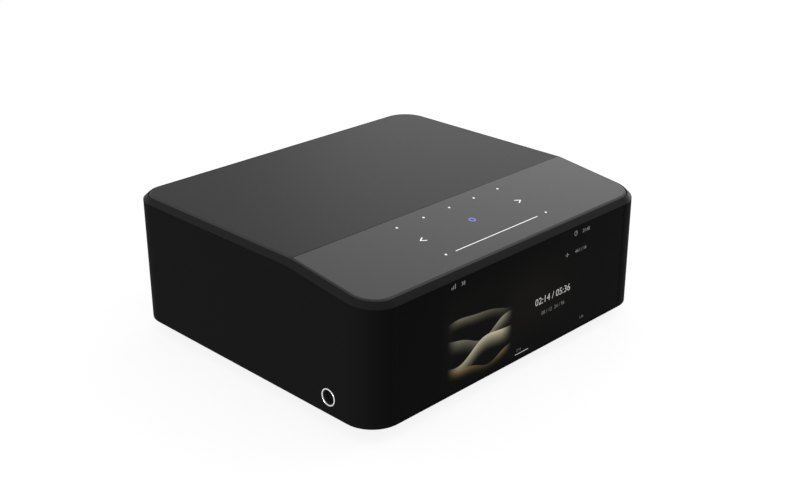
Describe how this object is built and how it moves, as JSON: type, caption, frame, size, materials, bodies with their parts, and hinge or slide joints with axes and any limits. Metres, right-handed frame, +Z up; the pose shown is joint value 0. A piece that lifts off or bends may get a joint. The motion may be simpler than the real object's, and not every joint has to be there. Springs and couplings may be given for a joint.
{
  "type": "network music streamer",
  "caption": "Compact network music streamer: dark rounded cabinet, sloped touch panel, display behind a full-front lens, side headphone sockets and a recessed rear connector bay.",
  "frame": {"origin": "on the supporting surface, under the middle of the cabinet", "axes": "+X to the right seen from the front, +Y to the rear, +Z up; the display faces -Y"},
  "size_m": [0.221, 0.194, 0.084],
  "materials": {
    "cabinet_coat": "fine satin black coat",
    "top_satin": "satin smoked grey",
    "touch_glass": "satin smoked glass",
    "lens_glass": "polished black glass",
    "screen": "lit display",
    "steel": "plain sheet",
    "black_sheet": "fine black powder coat",
    "black_plastic": "moulded",
    "grey_plastic": "moulded",
    "white_plastic": "moulded",
    "red_plastic": "moulded",
    "violet_plastic": "moulded",
    "orange_plastic": "moulded",
    "rubber": "moulded",
    "nickel": "bright nickel plate",
    "ring_chrome": "polished",
    "gold": "gold plate",
    "screw_zinc": "zinc plate",
    "screw_black": "black oxide",
    "board_green": "solder mask",
    "board_power": "bare laminate",
    "diffuser": "clear moulded",
    "ribbon": "polyimide film",
    "heatsink": "dark anodised",
    "can": "plain can",
    "sleeve": "printed sleeve",
    "ferrite": "taped core"
  },
  "bodies": {
    "chassis": {"cabinet": "cabinet_coat", "top_cover": "top_satin", "control_panel": "touch_glass", "front_lens": "lens_glass", "display_module": "screen", "display_bracket": "steel", "display_ribbon": "ribbon", "light_guide": "diffuser", "touch_board": "board_green", "base_plate": "black_sheet", "feet": "black_plastic", "foot_pads": "rubber", "foot_screws": "screw_zinc", "base_screws": "screw_black", "rear_frame": "black_plastic", "rear_panel": "black_sheet", "rear_screws": "screw_black", "main_board": "board_green", "power_board": "board_power", "analog_board": "board_green", "board_standoffs": "screw_zinc", "analog_spacers": "screw_zinc", "board_screws": "screw_zinc", "processor_chip": "black_plastic", "processor_heatsink": "heatsink", "radio_module": "can", "aerials": "board_green", "audio_capacitors": "sleeve", "transformer": "ferrite", "bulk_capacitors": "sleeve", "power_heatsink": "heatsink", "mains_inlet": "black_plastic", "inlet_pins": "nickel", "ethernet_socket": "nickel", "ethernet_contacts": "gold", "hdmi_socket": "nickel", "hdmi_tongue": "black_plastic", "usb_socket": "nickel", "usb_tongue": "black_plastic", "optical_in_socket": "black_plastic", "optical_out_socket": "black_plastic", "mini_sockets": "black_plastic", "setup_switch": "black_plastic", "rca_shells": "gold", "rca_insulators": "black_plastic", "rca_housings": "black_plastic", "rca_collar_left": "white_plastic", "rca_collar_right": "red_plastic", "rca_collar_sub": "violet_plastic", "rca_collar_coax": "orange_plastic", "xlr_shells": "black_sheet", "xlr_inserts": "black_plastic", "xlr_pins": "nickel", "headphone_sockets": "black_plastic", "headphone_rings": "ring_chrome", "headphone_boards": "board_green"},
    "optical_in_shutter": {"optical_in_shutter": "grey_plastic"},
    "optical_out_shutter": {"optical_out_shutter": "grey_plastic"},
    "setup_button": {"setup_button": "grey_plastic"}
  },
  "joints": [
    {"name": "optical_in_shutter_swing", "type": "hinge", "parent": "chassis", "child": "optical_in_shutter", "pos_m": [0.0271, 0.08375, 0.0265], "axis": [-1, 0, 0], "range_deg": [0, 82], "stiffness_Nm_per_rad": 0.0004, "springref_deg": -11.46},
    {"name": "optical_out_shutter_swing", "type": "hinge", "parent": "chassis", "child": "optical_out_shutter", "pos_m": [0.0133, 0.08375, 0.0265], "axis": [-1, 0, 0], "range_deg": [0, 82], "stiffness_Nm_per_rad": 0.0004, "springref_deg": -11.46},
    {"name": "setup_button_press", "type": "slide", "parent": "chassis", "child": "setup_button", "axis": [0, -1, 0], "range_m": [0, 0.0008], "stiffness_N_per_m": 400, "springref_m": -0.0002}
  ]
}
